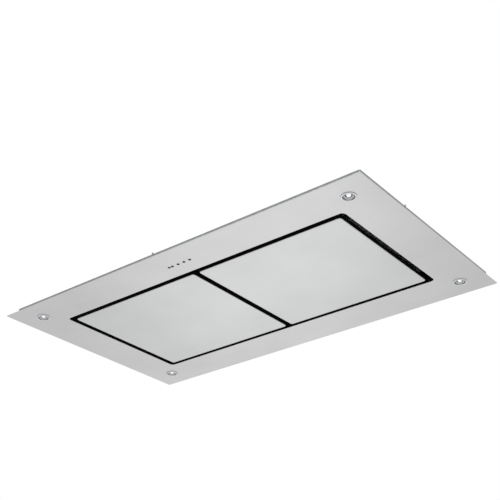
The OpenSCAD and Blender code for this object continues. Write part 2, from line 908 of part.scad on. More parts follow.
module control_housing() {
    floor_z = plate_t + chamber_h + guide_t;
    color(dark_plastic) hung() translate([0, control_y, 0]) difference() {
        union() {
            translate([-housing_l / 2, -housing_w / 2, plate_t])
                cube([housing_l, housing_w, housing_h]);
            translate([-housing_l / 2 - housing_ear, -housing_w / 2, plate_t])
                cube([housing_l + 2 * housing_ear, housing_w, housing_ear_t]);
        }
        for (p = housing_studs) translate([p[0], 0, plate_t - cut])
            cylinder(r = stud_r + pressed, h = housing_ear_t + 2 * cut);
        translate([-housing_l / 2 + housing_t, -housing_w / 2 + housing_t, floor_z])
            cube([housing_l - 2 * housing_t, housing_w - 2 * housing_t, housing_h]);
        for (i = [0 : button_count]) translate([control_x(i), 0, plate_t - cut]) {
            cylinder(r = chamber_r, h = cut + chamber_h);
            cylinder(r = stem_r + button_play, h = cut + chamber_h + guide_t + cut);
        }
    }
}

// Circuit board on four feet, with a switch over each button and the sensor over the window
module control_board() {
    floor_z = plate_t + chamber_h + guide_t;
    board_z = button_cap_h + stem_l + button_travel + play + board_rest + switch_h;
    l = housing_l - 2 * housing_t - 2 * play;
    w = housing_w - 2 * housing_t - 2 * play;
    color(board_green) hung() translate([0, control_y, 0]) {
        translate([-l / 2, -w / 2, board_z]) cube([l, w, board_t]);
        for (sx = [-1, 1], sy = [-1, 1])
            translate([sx * (l / 2 - stem_r), sy * (w / 2 - stem_r), floor_z])
                cylinder(r = stem_r, h = board_z - floor_z);
        for (i = [1 : button_count]) translate([control_x(i), 0, board_z - switch_h]) {
            translate([-switch_w / 2, -switch_w / 2, 0]) cube([switch_w, switch_w, switch_h]);
            translate([0, 0, -board_rest]) cylinder(r = plunger_r, h = board_rest);
        }
        translate([control_x(0), 0, floor_z]) cylinder(r = sensor_r, h = board_z - floor_z);
        translate([control_lead_x - plug_w / 2, -plug_w / 2, board_z]) cube([plug_w, plug_w, board_t + plug_h]);
    }
}

// Hanging brackets: four angles on the box's short sides, each with a hole for a threaded rod

module bracket_places() {
    for (sx = [-1, 1], sy = [-1, 1])
        mirror([sx < 0 ? 1 : 0, 0, 0]) translate([box_out_l / 2, sy * hang_y, 0]) children();
}

module rivet_places() {
    bracket_places() for (sy = [-1, 1], dz = [-1, 1])
        translate([0, sy * hang_w * rivet_dx_share, (hang_z + hang_low()) / 2 + dz * hang_w * rivet_dx_share])
            children();
}

function hang_low() = hang_z - hang_w;

module hanging_brackets() {
    length = 2 * hang_reach;
    color(galvanised) hung() difference() {
        bracket_places() {
            translate([0, -hang_w / 2, hang_low()]) cube([hang_t, hang_w, hang_w]);
            translate([0, -hang_w / 2, hang_z - hang_t]) cube([length, hang_w, hang_t]);
        }
        bracket_places() translate([hang_reach, 0, hang_z - hang_t - cut])
            cylinder(r = hang_hole_r, h = hang_t + 2 * cut);
        rivet_places() rotate([0, 90, 0]) cylinder(r = rivet_r + pressed, h = 4 * hang_t, center = true);
    }
}

module bracket_rivets() {
    color(galvanised) hung() rivet_places() rotate([0, 90, 0]) {
        translate([0, 0, -box_t]) cylinder(r = rivet_r, h = box_t + hang_t);
        translate([0, 0, hang_t]) cylinder(r = rivet_head_r, h = rivet_head_h);
    }
}

// Fan housing

module fan_housing() {
    color(galvanised) hung() difference() {
        translate([fan_cx, fan_y, 0]) {
            layer(box_h, fan_h) frame_outline(fan_l + 2 * fan_t, fan_w + 2 * fan_t, box_corner_r, fan_t);
            layer(box_h, fan_t)
                frame_outline(fan_l + 2 * (fan_t + fan_foot), fan_w + 2 * (fan_t + fan_foot), box_corner_r,
                    fan_t + fan_foot);
            layer(fan_z - fan_t, fan_t)
                frame_outline(fan_l + 2 * fan_t, fan_w + 2 * fan_t, box_corner_r, fan_t + box_lip);
        }
        holes(fan_foot_screws, screw_hole_r, box_h, fan_t);
        holes(fan_lid_screws, screw_hole_r, fan_z - fan_t, fan_t);
    }
}

module fan_lid() {
    color(galvanised) hung() difference() {
        translate([fan_cx, fan_y, 0])
            layer(fan_z, fan_t) rounded_rect(fan_l + 2 * fan_t, fan_w + 2 * fan_t, box_corner_r);
        translate([spigot_x, fan_y, fan_z - cut]) cylinder(r = spigot_r - spigot_t, h = fan_t + 2 * cut);
        translate([fan_x, fan_y, fan_z - cut]) cylinder(r = motor_cap_r + play, h = fan_t + 2 * cut);
        holes(fan_lid_screws, screw_hole_r, fan_z, fan_t);
        holes(spigot_screws, screw_hole_r, fan_z, fan_t);
    }
}

// Flared ring that leads the air into the impeller's eye, on the box's lid
module inlet_ring() {
    rim_r = inlet_r + inlet_flare;
    color(galvanised) hung() translate([fan_x, fan_y, box_h]) difference() {
        rotate_extrude() {
            translate([rim_r, 0]) square([inlet_flare, inlet_t]);
            translate([rim_r, inlet_flare]) intersection() {
                difference() {
                    circle(inlet_flare);
                    circle(inlet_flare - inlet_t);
                }
                translate([-inlet_flare, -inlet_flare]) square(inlet_flare);
            }
            translate([inlet_r, inlet_flare]) square([inlet_t, inlet_h - inlet_flare]);
        }
        for (p = inlet_screws) translate([p[0] - fan_x, p[1] - fan_y, -cut])
            cylinder(r = screw_hole_r, h = inlet_t + 2 * cut);
    }
}

// One backward-curved blade: its centre line turns back by blade_sweep from the eye to the rim
function blade_point(i) =
    let (r = impeller_r * blade_inner_share + (impeller_r * (1 - blade_inner_share) - blade_t) * i / blade_steps,
        a = -blade_sweep * i / blade_steps)
    r * [cos(a), sin(a)];

function blade_side(i, side) =
    let (d = blade_point(i + 1) - blade_point(i - 1))
    blade_point(i) + side * blade_t / 2 * [-d[1], d[0]] / norm(d);

module blade_outline() {
    polygon(concat([for (i = [0 : blade_steps]) blade_side(i, 1)],
        [for (i = [0 : blade_steps]) blade_side(blade_steps - i, -1)]));
}

module impeller() {
    z0 = box_h + inlet_h + shroud_gap;
    blade_z = z0 + shroud_t;
    disc_z = z0 + impeller_h - shroud_t;
    color(dark_plastic) hung() translate([fan_x, fan_y, 0]) difference() {
        union() {
            layer(z0, shroud_t) difference() {
                circle(impeller_r);
                circle(inlet_r + inlet_t + inlet_play);
            }
            layer(disc_z, shroud_t) circle(impeller_r);
            layer(blade_z, disc_z - blade_z) for (i = [0 : blade_count - 1])
                rotate(360 / blade_count * i) blade_outline();
            layer(disc_z - hub_h, hub_h) circle(hub_r);
        }
        translate([0, 0, disc_z - hub_h - cut])
            cylinder(r = shaft_r + pressed, h = hub_h + shroud_t + 2 * cut);
    }
}

module motor_shaft() {
    top = box_h + inlet_h + shroud_gap + impeller_h + shaft_l - hub_h;
    color(polished) hung() translate([fan_x, fan_y, top - shaft_l]) cylinder(r = shaft_r, h = shaft_l);
}

// Motor under the lid, with its ribbed cap above it
module motor() {
    low = box_h + inlet_h + shroud_gap + impeller_h + motor_gap;
    shaft_top = low - motor_gap + shaft_l - hub_h;
    color(filter_metal) hung() translate([fan_x, fan_y, 0]) difference() {
        union() {
            translate([0, 0, low]) cylinder(r = motor_r, h = fan_z - low);
            translate([0, 0, fan_z - cut]) cylinder(r = motor_cap_r, h = fan_t + motor_cap_h + cut);
            for (i = [0 : motor_rib_count - 1]) rotate([0, 0, 360 / motor_rib_count * i])
                translate([motor_cap_r / 3, -motor_rib_w / 2, fan_top + motor_cap_h - cut])
                    cube([motor_cap_r / 2, motor_rib_w, motor_rib_h + cut]);
        }
        translate([0, 0, low - cut]) cylinder(r = shaft_r + running, h = shaft_top - low + play + cut);
    }
}

// Duct spigot and its two non-return flaps, which lie on a seat ring and open upward

module duct_spigot() {
    inner_r = spigot_r - spigot_t;
    pin_height = fan_top + seat_z + seat_t + play + flap_t / 2;
    color(galvanised) hung() difference() {
        translate([spigot_x, fan_y, fan_top]) {
            difference() {
                union() {
                    cylinder(r = spigot_r, h = spigot_h);
                    cylinder(r = spigot_r + flange_w, h = flange_t);
                }
                translate([0, 0, -cut]) cylinder(r = inner_r, h = spigot_h + 2 * cut);
            }
            difference() {
                translate([0, 0, seat_z]) cylinder(r = spigot_r - spigot_t / 2, h = seat_t);
                translate([0, 0, seat_z - cut]) cylinder(r = inner_r - seat_w, h = seat_t + 2 * cut);
            }
        }
        translate([spigot_x, fan_y, pin_height]) rotate([90, 0, 0]) {
            cylinder(r = flap_pin_r + pressed, h = 2 * spigot_r + 2 * cut, center = true);
        }
        holes(spigot_screws, screw_hole_r, fan_top, flange_t);
    }
}

module flap_pin() {
    color(polished) hung()
        translate([spigot_x, fan_y, fan_top + seat_z + seat_t + play + flap_t / 2])
            rotate([90, 0, 0]) cylinder(r = flap_pin_r, h = 2 * (spigot_r - play), center = true);
}

// A half disc on the -X side, with two knuckles on the pin
module flap() {
    edge_r = spigot_r - spigot_t - flap_play;
    web_x = knuckle_r + knuckle_gap;
    spans = [[knuckle_ends[0], knuckle_ends[1]], [-knuckle_ends[3], -knuckle_ends[2]]];
    translate([spigot_x, fan_y, fan_top + seat_z + seat_t + play]) difference() {
        union() {
            layer(0, flap_t) difference() {
                circle(edge_r);
                translate([-web_x, -edge_r - cut]) square(2 * (edge_r + cut));
            }
            for (s = spans) {
                translate([0, s[1], flap_t / 2]) rotate([90, 0, 0]) cylinder(r = knuckle_r, h = s[1] - s[0]);
                translate([-web_x - cut, s[0], 0]) cube([web_x + cut, s[1] - s[0], flap_t]);
            }
        }
        translate([0, 0, flap_t / 2]) rotate([90, 0, 0])
            cylinder(r = flap_pin_r + running, h = 2 * spigot_r, center = true);
    }
}

module left_flap() {
    color(filter_metal) hung() flap();
}

module right_flap() {
    color(filter_metal) hung() translate([2 * spigot_x, 2 * fan_y, 0]) rotate([0, 0, 180]) flap();
}

// Electronics box on the lid of the suction box

module electronics_box() {
    wall_x = case_x - case_l / 2;
    color(dark_plastic) hung() difference() {
        union() {
            difference() {
                translate([case_x - case_l / 2, -case_w / 2, box_h]) cube([case_l, case_w, case_h]);
                translate([case_x - case_l / 2 + case_t, -case_w / 2 + case_t, box_h + case_t])
                    cube([case_l - 2 * case_t, case_w - 2 * case_t, case_h]);
            }
            for (p = case_screws) translate([p[0], p[1], box_h]) cylinder(r = boss_r, h = case_h);
        }
        for (p = case_screws) translate([p[0], p[1], case_z - case_screw_l])
            cylinder(r = screw_r + pressed, h = case_screw_l + cut);
        holes(case_floor_screws, screw_hole_r, box_h, case_t);
        translate([wall_x - cut, 0, case_z - case_h / 2]) rotate([0, 90, 0])
            cylinder(r = gland_thread_r + pressed, h = case_t + 2 * cut);
        for (y = case_lead_ys) translate([wall_x - cut, y, lead_in_z]) rotate([0, 90, 0])
            cylinder(r = lead_r + pressed, h = case_t + 2 * cut);
        translate([wall_x + case_l - case_t - cut, motor_lead_y, lead_in_z]) rotate([0, 90, 0])
            cylinder(r = lead_r + pressed, h = case_t + 2 * cut);
    }
}

module electronics_cover() {
    color(dark_plastic) hung() difference() {
        translate([case_x - case_l / 2, -case_w / 2, case_z]) cube([case_l, case_w, cover_t]);
        holes(case_screws, screw_hole_r, case_z, cover_t);
    }
}

// Main board with its feet, terminals and plugs, a coil and the fan's capacitor
function board_l() = case_l - 2 * case_t - 4 * boss_r - 2 * play;
function board_w() = case_w - 2 * case_t - 2 * play;

module circuit_board() {
    l = board_l();
    w = board_w();
    foot_z = box_h + case_t;
    board_z = foot_z + board_gap;
    color(board_green) hung() translate([case_x, 0, 0]) {
        translate([-l / 2, -w / 2, board_z]) cube([l, w, board_t]);
        for (sx = [-1, 1], sy = [-1, 1])
            translate([sx * (l / 2 - boss_r), sy * (w / 2 - boss_r), foot_z])
                cylinder(r = boss_r, h = board_gap + board_t / 2);
        translate([-l / 2, -terminal_l / 2, board_z]) cube([terminal_w, terminal_l, terminal_h]);
        translate([l / 2 - plug_w, motor_lead_y - plug_w / 2, board_z]) cube([plug_w, plug_w, terminal_h]);
        translate([-l / 2, control_in_y - plug_w / 2, board_z]) cube([plug_w, plug_w, terminal_h]);
        translate([coil_r, -w / 4, board_z]) cylinder(r = coil_r, h = part_h);
        translate([-part_l / 2, w / 8, board_z]) cube([part_l, part_w, part_h]);
    }
}

// Gland for the mains cable, clamped in the wall by its nut
module cable_gland() {
    wall_x = case_x - case_l / 2;
    color(dark_plastic) hung() translate([wall_x, 0, case_z - case_h / 2]) rotate([0, 90, 0]) difference() {
        union() {
            translate([0, 0, -gland_l]) cylinder(r = gland_nut_r, h = gland_l - gland_hex_h);
            translate([0, 0, -gland_hex_h]) cylinder(r = gland_hex_r, h = gland_hex_h, $fn = 6);
            cylinder(r = gland_thread_r, h = case_t + gland_nut_h);
            translate([0, 0, case_t]) cylinder(r = gland_hex_r, h = gland_nut_h, $fn = 6);
        }
        translate([0, 0, -gland_l - cut])
            cylinder(r = cable_r, h = gland_l + case_t + gland_nut_h + 2 * cut);
    }
}

// Screws through the sheets, and the studs with nuts that hold the box and the collar to the plate
module sheet_fasteners() {
    color(polished) hung() {
        for (p = foot_studs) translate([p[0], p[1], plate_t]) stud_and_nut(box_t);
        for (p = collar_studs) translate([p[0], p[1], plate_t]) stud_and_nut(collar_t);
        for (p = lid_screws) translate([p[0], p[1], box_h - 2 * box_t]) pan_screw(2 * box_t);
        for (p = fan_foot_screws) translate([p[0], p[1], box_h - box_t]) pan_screw(box_t + fan_t);
        for (p = fan_lid_screws) translate([p[0], p[1], fan_z - fan_t]) pan_screw(2 * fan_t);
        for (p = spigot_screws) translate([p[0], p[1], fan_z]) pan_screw(fan_t + flange_t);
        for (p = inlet_screws) translate([p[0], p[1], box_h - box_t]) pan_screw(box_t + inlet_t);
        for (p = case_floor_screws) translate([p[0], p[1], box_h - box_t]) pan_screw(box_t + case_t);
        for (p = case_screws) translate([p[0], p[1], case_z - case_screw_l]) pan_screw(case_screw_l + cover_t);
        for (p = housing_studs) translate([p[0], p[1], plate_t]) stud_and_nut(housing_ear_t);
    }
}

// A lead through a list of points, with a slightly fuller ball at each bend
module lead(points) {
    for (i = [0 : len(points) - 2]) {
        d = points[i + 1] - points[i];
        translate(points[i]) rotate([0, acos(d[2] / norm(d)), atan2(d[1], d[0])])
            cylinder(r = lead_r, h = norm(d));
    }
    for (i = [1 : len(points) - 2]) translate(points[i]) sphere(lead_r * bend_share);
}

// The lamps' leads run round the box's foot and up its -X wall, and the buttons' lead runs outside them.
// The motor's lead crosses the lids.
module inner_wiring() {
    wall_x = box_out_l / 2 + lead_r * bend_share + play;
    wall_y = box_out_w / 2 + lead_r * bend_share + play;
    over = box_h + lead_r * bend_share + play;
    over_fan = fan_top + lead_r * bend_share + play;
    case_end_x = case_x - case_l / 2;
    case_far_x = case_x + case_l / 2;
    fan_side_x = fan_cx - fan_l / 2 - fan_t - fan_foot - lead_r * bend_share - play;
    control_lead_z = plate_t + housing_h + play + lead_r * bend_share;
    control_run_z = lead_z + 2 * lead_step;
    color(dark_plastic) hung() {
        for (p = lamp_at) {
            sx = sign(p[0]);
            sy = sign(p[1]);
            z = sx > 0 ? lead_z : lead_z + lead_step;
            y = sy * (sx > 0 ? lead_y : lead_y + lead_dy);
            lead([[p[0], sy * (lamp_y - barrel_r), z], [p[0], sy * wall_y, z], [-wall_x, sy * wall_y, z],
                [-wall_x, y, z], [-wall_x, y, over], [case_end_x - lead_stand, y, over],
                [case_end_x - lead_stand, y, lead_in_z], [case_x - board_l() / 2, y, lead_in_z]]);
        }
        lead([[control_lead_x, control_y + plug_w / 2, control_lead_z],
            [control_lead_x, -wall_y - lead_step, control_lead_z],
            [control_lead_x, -wall_y - lead_step, control_run_z],
            [-wall_x - lead_step, -wall_y - lead_step, control_run_z],
            [-wall_x - lead_step, control_in_y, control_run_z], [-wall_x - lead_step, control_in_y, over],
            [case_end_x - lead_stand, control_in_y, over], [case_end_x - lead_stand, control_in_y, lead_in_z],
            [case_x - board_l() / 2, control_in_y, lead_in_z]]);
        lead([[fan_x - motor_cap_r, fan_y, over_fan + motor_lead_rise],
            [fan_side_x, fan_y, over_fan + motor_lead_rise], [fan_side_x, fan_y, over],
            [case_far_x + lead_stand, motor_lead_y, over],
            [case_far_x + lead_stand, motor_lead_y, lead_in_z],
            [case_x + board_l() / 2, motor_lead_y, lead_in_z]]);
    }
}

ceiling_plate();
collar_frame();
collar_tabs();
recess_liner();
suction_box();
suction_box_lid();
filter_carrier();
crossbar();
catch_magnets();
left_panel_face();
right_panel_face();
left_panel_back();
right_panel_back();
left_hinge_leaves();
right_hinge_leaves();
left_strike_plates();
right_strike_plates();
hinge_brackets();
hinge_pins();
left_filter_frame();
right_filter_frame();
left_filter_mesh();
right_filter_mesh();
left_filter_latch();
right_filter_latch();
lamp_bezel_1();
lamp_bezel_2();
lamp_bezel_3();
lamp_bezel_4();
lamp_lens_1();
lamp_lens_2();
lamp_lens_3();
lamp_lens_4();
lamp_bodies();
lamp_clips();
button_1();
button_2();
button_3();
button_4();
receiver_window();
control_housing();
control_board();
hanging_brackets();
bracket_rivets();
fan_housing();
fan_lid();
inlet_ring();
impeller();
motor_shaft();
motor();
duct_spigot();
left_flap();
right_flap();
flap_pin();
electronics_box();
electronics_cover();
circuit_board();
cable_gland();
sheet_fasteners();
inner_wiring();
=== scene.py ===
"""A ceiling range hood seen from below: a stainless plate with two hinged suction panels, four spot lamps
and a row of push buttons, and on its back the suction box, the fan box and the duct spigot."""
import json
import math

import bmesh
import bpy
from mathutils import Matrix, Vector


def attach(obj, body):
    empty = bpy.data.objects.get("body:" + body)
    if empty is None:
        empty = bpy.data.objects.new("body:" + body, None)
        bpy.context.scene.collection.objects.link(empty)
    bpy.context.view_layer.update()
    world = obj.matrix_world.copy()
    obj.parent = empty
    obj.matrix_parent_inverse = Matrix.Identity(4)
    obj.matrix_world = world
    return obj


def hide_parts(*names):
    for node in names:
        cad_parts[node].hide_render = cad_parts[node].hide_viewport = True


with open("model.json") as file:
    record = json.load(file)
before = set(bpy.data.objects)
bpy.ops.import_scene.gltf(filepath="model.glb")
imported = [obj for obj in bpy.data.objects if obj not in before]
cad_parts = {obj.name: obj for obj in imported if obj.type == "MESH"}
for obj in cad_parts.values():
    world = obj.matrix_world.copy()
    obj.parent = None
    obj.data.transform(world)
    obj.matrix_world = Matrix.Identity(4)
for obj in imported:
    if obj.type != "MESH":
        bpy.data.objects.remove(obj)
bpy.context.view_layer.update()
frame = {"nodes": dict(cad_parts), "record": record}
CAD = frame["nodes"]
SLOT_OF = {part["node"]: part["material_slot"] for part in frame["record"]["subparts"]}

MM = 0.001
# The plate's visible underside lies this far below the origin, which is on top of the hanging brackets
HANG_Z = 62


# Camera

# Found from the plate's and the opening's corners in the photograph
CAMERA_PLACE = (1.5117, -1.9420, -1.2693)
CAMERA_HEADING, CAMERA_TILT, CAMERA_ROLL = (math.radians(a) for a in (-37.544, 29.080, -0.624))
FOCAL_PX, PHOTO_PX, SENSOR_MM = 975.3, 500, 36


def aim_camera():
    ahead = Vector((math.sin(CAMERA_HEADING) * math.cos(CAMERA_TILT),
                    math.cos(CAMERA_HEADING) * math.cos(CAMERA_TILT), math.sin(CAMERA_TILT)))
    level = Vector((math.cos(CAMERA_HEADING), -math.sin(CAMERA_HEADING), 0))
    upward = level.cross(ahead)
    right = level * math.cos(CAMERA_ROLL) + upward * math.sin(CAMERA_ROLL)
    above = upward * math.cos(CAMERA_ROLL) - level * math.sin(CAMERA_ROLL)
    lens = bpy.data.cameras.new("camera")
    lens.sensor_width = SENSOR_MM
    lens.lens = FOCAL_PX / PHOTO_PX * SENSOR_MM
    lens.clip_start, lens.clip_end = 0.05, 60
    camera = bpy.data.objects.new("camera", lens)
    camera.matrix_world = Matrix.Translation(CAMERA_PLACE) @ Matrix((right, above, -ahead)).transposed().to_4x4()
    bpy.context.scene.collection.objects.link(camera)
    bpy.context.scene.camera = camera


aim_camera()


# Materials

def linear(hex_colour):
    """An sRGB hex colour as the linear values that shaders take."""
    parts = [int(hex_colour[i:i + 2], 16) / 255 for i in (1, 3, 5)]
    return [c / 12.92 if c <= 0.04045 else ((c + 0.055) / 1.055) ** 2.4 for c in parts] + [1]


def add(tree, kind, inputs=None, **settings):
    """Adds a node. An input is either a value or the socket that feeds it."""
    node = tree.nodes.new(kind)
    for name, value in settings.items():
        setattr(node, name, value)
    for name, value in (inputs or {}).items():
        if isinstance(value, bpy.types.NodeSocket):
            tree.links.new(value, node.inputs[name])
        else:
            node.inputs[name].default_value = value
    return node


def new_finish(name, values):
    """A material with nothing but its shader, whose uniform values are set on its own sockets."""
    material = bpy.data.materials.new(name)
    material.use_nodes = True
    tree = material.node_tree
    tree.nodes.clear()
    surface = add(tree, "ShaderNodeBsdfPrincipled", values)
    add(tree, "ShaderNodeOutputMaterial", {"Surface": surface.outputs[0]})
    place = add(tree, "ShaderNodeTexCoord").outputs["Object"]
    return material, tree, surface, place


def shade_between(tree, amount, dark, light):
    """A colour that runs from dark to light as amount goes from 0 to 1."""
    mix = add(tree, "ShaderNodeMix", {0: amount}, data_type="RGBA")
    mix.inputs[6].default_value, mix.inputs[7].default_value = linear(dark), linear(light)
    return mix.outputs[2]


# Stainless sheet, belt-ground along its length: fine parallel scratches that blur what it mirrors.
# The scratches are 0.2 mm apart on the real sheet and are drawn 1.6 mm apart, so that they show. Faint clouds
# from the grinding belt's passes are about 200 mm across.
SCRATCH_PITCH_MM, SCRATCH_RUN_MM, CLOUD_MM = 1.6, 140, 200


def ground_stainless(name, dark, light, roughness):
    material, tree, surface, place = new_finish(name, {"Metallic": 1})
    across, along = 1 / (SCRATCH_PITCH_MM * MM), 1 / (SCRATCH_RUN_MM * MM)
    stretched = add(tree, "ShaderNodeMapping", {"Vector": place, "Scale": (along, across, across)})
    scratches = add(tree, "ShaderNodeTexNoise", {"Vector": stretched.outputs[0], "Scale": 1.0, "Detail": 3.0})
    cloudy = add(tree, "ShaderNodeTexNoise", {"Vector": place, "Scale": 1 / (CLOUD_MM * MM), "Detail": 2.0})
    mixed = add(tree, "ShaderNodeMath", {0: scratches.outputs[0], 1: cloudy.outputs[0]}, operation="ADD")
    amount = add(tree, "ShaderNodeMapRange", {"Value": mixed.outputs[0], "From Min": 0.7, "From Max": 1.3})
    tree.links.new(shade_between(tree, amount.outputs[0], dark, light), surface.inputs["Base Color"])
    rough = add(tree, "ShaderNodeMapRange", {"Value": scratches.outputs[0], "From Min": 0.3, "From Max": 0.7,
                "To Min": roughness * 0.9, "To Max": roughness * 1.1})
    tree.links.new(rough.outputs[0], surface.inputs["Roughness"])
    relief = add(tree, "ShaderNodeBump", {"Height": scratches.outputs[0], "Strength": 0.06, "Distance": 0.05 * MM})
    tree.links.new(relief.outputs[0], surface.inputs["Normal"])
    return material


# Hot-dip galvanised sheet: dull zinc with faint crystal flakes about 9 mm across, each a little darker or lighter.
FLAKE_MM = 9


def galvanised_sheet():
    material, tree, surface, place = new_finish("galvanised_sheet", {"Metallic": 1})
    flakes = add(tree, "ShaderNodeTexVoronoi", {"Vector": place, "Scale": 1 / (FLAKE_MM * MM), "Randomness": 1.0})
    grey = add(tree, "ShaderNodeRGBToBW", {"Color": flakes.outputs["Color"]})
    tree.links.new(shade_between(tree, grey.outputs[0], "#808385", "#979A9B"), surface.inputs["Base Color"])
    rough = add(tree, "ShaderNodeMapRange", {"Value": grey.outputs[0], "To Min": 0.42, "To Max": 0.58})
    tree.links.new(rough.outputs[0], surface.inputs["Roughness"])
    return material


# Black powder coat: deep and matt, with the low orange-peel waves that a baked powder leaves, about 1.2 mm
# across. It has little gloss, because the photograph's slots are almost pure black.
PEEL_MM = 1.2


def black_powder_coat():
    material, tree, surface, place = new_finish("black_powder_coat", {"Roughness": 0.7, "Specular IOR Level": 0.1})
    waves = add(tree, "ShaderNodeTexNoise", {"Vector": place, "Scale": 1 / (PEEL_MM * MM), "Detail": 2.0})
    tree.links.new(shade_between(tree, waves.outputs[0], "#050505", "#0A0A0A"), surface.inputs["Base Color"])
    relief = add(tree, "ShaderNodeBump", {"Height": waves.outputs[0], "Strength": 0.15, "Distance": 0.1 * MM})
    tree.links.new(relief.outputs[0], surface.inputs["Normal"])
    return material


# Plain mill-finish aluminium of filter frames, flaps and heat sinks: pale grey with soft cloudy rolling marks
# about 17 mm across.
ROLLING_MARK_MM = 16.7


def mill_aluminium():
    material, tree, surface, place = new_finish("mill_aluminium", {"Metallic": 1})
    marks = add(tree, "ShaderNodeTexNoise", {"Vector": place, "Scale": 1 / (ROLLING_MARK_MM * MM), "Detail": 4.0})
    tree.links.new(shade_between(tree, marks.outputs[0], "#AEB2B6", "#C4C8CB"), surface.inputs["Base Color"])
    rough = add(tree, "ShaderNodeMapRange", {"Value": marks.outputs[0], "To Min": 0.3, "To Max": 0.5})
    tree.links.new(rough.outputs[0], surface.inputs["Roughness"])
    return material


# Woven aluminium filter cloth: bright wires with dark holes between them. The real wires are 1 mm apart
# and are drawn 3 mm apart, so that they show.
WIRE_PITCH_MM = 3


def filter_cloth():
    material, tree, surface, place = new_finish("filter_cloth", {"Metallic": 0.9, "Roughness": 0.45})
    turned = add(tree, "ShaderNodeMapping", {"Vector": place, "Rotation": (0, 0, math.radians(45))})
    wires = add(tree, "ShaderNodeTexBrick", {"Vector": turned.outputs[0], "Scale": 1 / (WIRE_PITCH_MM * MM),
                "Mortar Size": 0.16, "Mortar Smooth": 0.6, "Bias": 0.0, "Brick Width": 1.0, "Row Height": 1.0,
                "Color1": (0, 0, 0, 1), "Color2": (0, 0, 0, 1), "Mortar": (1, 1, 1, 1)}, offset=0.0)
    tree.links.new(shade_between(tree, wires.outputs["Color"], "#2C2E30", "#C2C6CA"), surface.inputs["Base Color"])
    relief = add(tree, "ShaderNodeBump", {"Height": wires.outputs["Color"], "Strength": 0.5, "Distance": 0.6 * MM})
    tree.links.new(relief.outputs[0], surface.inputs["Normal"])
    return material


# The middle of one lamp, in mm. The four lamps mirror each other, so it serves them all.
LAMP_X, LAMP_Y = 524, 278


def rings_round_lamps(tree, place, pitch_mm):
    """Waves from 0 to 1 that run in rings round the middle of each lamp."""
    folded = add(tree, "ShaderNodeVectorMath", {0: place}, operation="ABSOLUTE")
    offset = add(tree, "ShaderNodeVectorMath", {0: folded.outputs[0], 1: (LAMP_X * MM, LAMP_Y * MM, 0)},
                 operation="SUBTRACT")
    level = add(tree, "ShaderNodeVectorMath", {0: offset.outputs[0], 1: (1, 1, 0)}, operation="MULTIPLY")
    radius = add(tree, "ShaderNodeVectorMath", {0: level.outputs[0]}, operation="LENGTH")
    angle = add(tree, "ShaderNodeMath", {0: radius.outputs["Value"], 1: 2 * math.pi / (pitch_mm * MM)},
                operation="MULTIPLY")
    wave = add(tree, "ShaderNodeMath", {0: angle.outputs[0]}, operation="SINE")
    return add(tree, "ShaderNodeMapRange", {"Value": wave.outputs[0], "From Min": -1.0}).outputs[0]


# Satin metal of the lamps' rings and bowls, turned on a lathe. The tool marks are 0.1 mm apart on the real ones
# and are drawn 0.8 mm apart, so that they show.
TOOL_MARK_MM = 0.8


def turned_metal(name, dark, light, roughness):
    material, tree, surface, place = new_finish(name, {"Metallic": 1})
    marks = rings_round_lamps(tree, place, TOOL_MARK_MM)
    tree.links.new(shade_between(tree, marks, dark, light), surface.inputs["Base Color"])
    rough = add(tree, "ShaderNodeMapRange", {"Value": marks, "To Min": roughness * 0.9, "To Max": roughness * 1.1})
    tree.links.new(rough.outputs[0], surface.inputs["Roughness"])
    relief = add(tree, "ShaderNodeBump", {"Height": marks, "Strength": 0.05, "Distance": 0.05 * MM})
    tree.links.new(relief.outputs[0], surface.inputs["Normal"])
    return material


# Bright chrome plate: a clear mirror with a trace of haze in spots of 3 mm.
HAZE_MM = 3.3


def bright_chrome():
    material, tree, surface, place = new_finish("bright_chrome", {"Metallic": 1})
    haze = add(tree, "ShaderNodeTexNoise", {"Vector": place, "Scale": 1 / (HAZE_MM * MM), "Detail": 2.0})
    tree.links.new(shade_between(tree, haze.outputs[0], "#D2D4D6", "#DEE0E2"), surface.inputs["Base Color"])
    rough = add(tree, "ShaderNodeMapRange", {"Value": haze.outputs[0], "To Min": 0.08, "To Max": 0.16})
    tree.links.new(rough.outputs[0], surface.inputs["Roughness"])
    return material


# Moulded plastics: ABS with a fine spark-eroded grain about 0.8 mm across, or polished. The board's green
# solder mask is made the same way, nearly smooth.
GRAIN_MM = 0.8


def moulded_plastic(name, dark, light, roughness, relief_strength, shine=0.5):
    material, tree, surface, place = new_finish(name, {"Roughness": roughness, "IOR": 1.53,
                                                       "Specular IOR Level": shine})
    grain = add(tree, "ShaderNodeTexNoise", {"Vector": place, "Scale": 1 / (GRAIN_MM * MM), "Detail": 2.0})
    tree.links.new(shade_between(tree, grain.outputs[0], dark, light), surface.inputs["Base Color"])
    relief = add(tree, "ShaderNodeBump", {"Height": grain.outputs[0], "Strength": relief_strength,
                                          "Distance": 0.1 * MM})
    tree.links.new(relief.outputs[0], surface.inputs["Normal"])
    return material


# Opal polycarbonate of the lamps' lenses: milky white that lets some light soak in, with faint moulded rings.
# A faint glow stands in for the light that the reflector behind it sends back.
RING_PITCH_MM, GLOW = 1.5, 0.35


def opal_lens():
    material, tree, surface, place = new_finish("opal_lens", {"Roughness": 0.25, "IOR": 1.58,
                                                              "Subsurface Weight": 0.4, "Subsurface Scale": 2 * MM,
                                                              "Emission Strength": GLOW})
    rings = rings_round_lamps(tree, place, RING_PITCH_MM)
    tree.links.new(shade_between(tree, rings, "#F2F4F5", "#FFFFFF"), surface.inputs["Base Color"])
    relief = add(tree, "ShaderNodeBump", {"Height": rings, "Strength": 0.1, "Distance": 0.1 * MM})
    tree.links.new(relief.outputs[0], surface.inputs["Normal"])
    return material


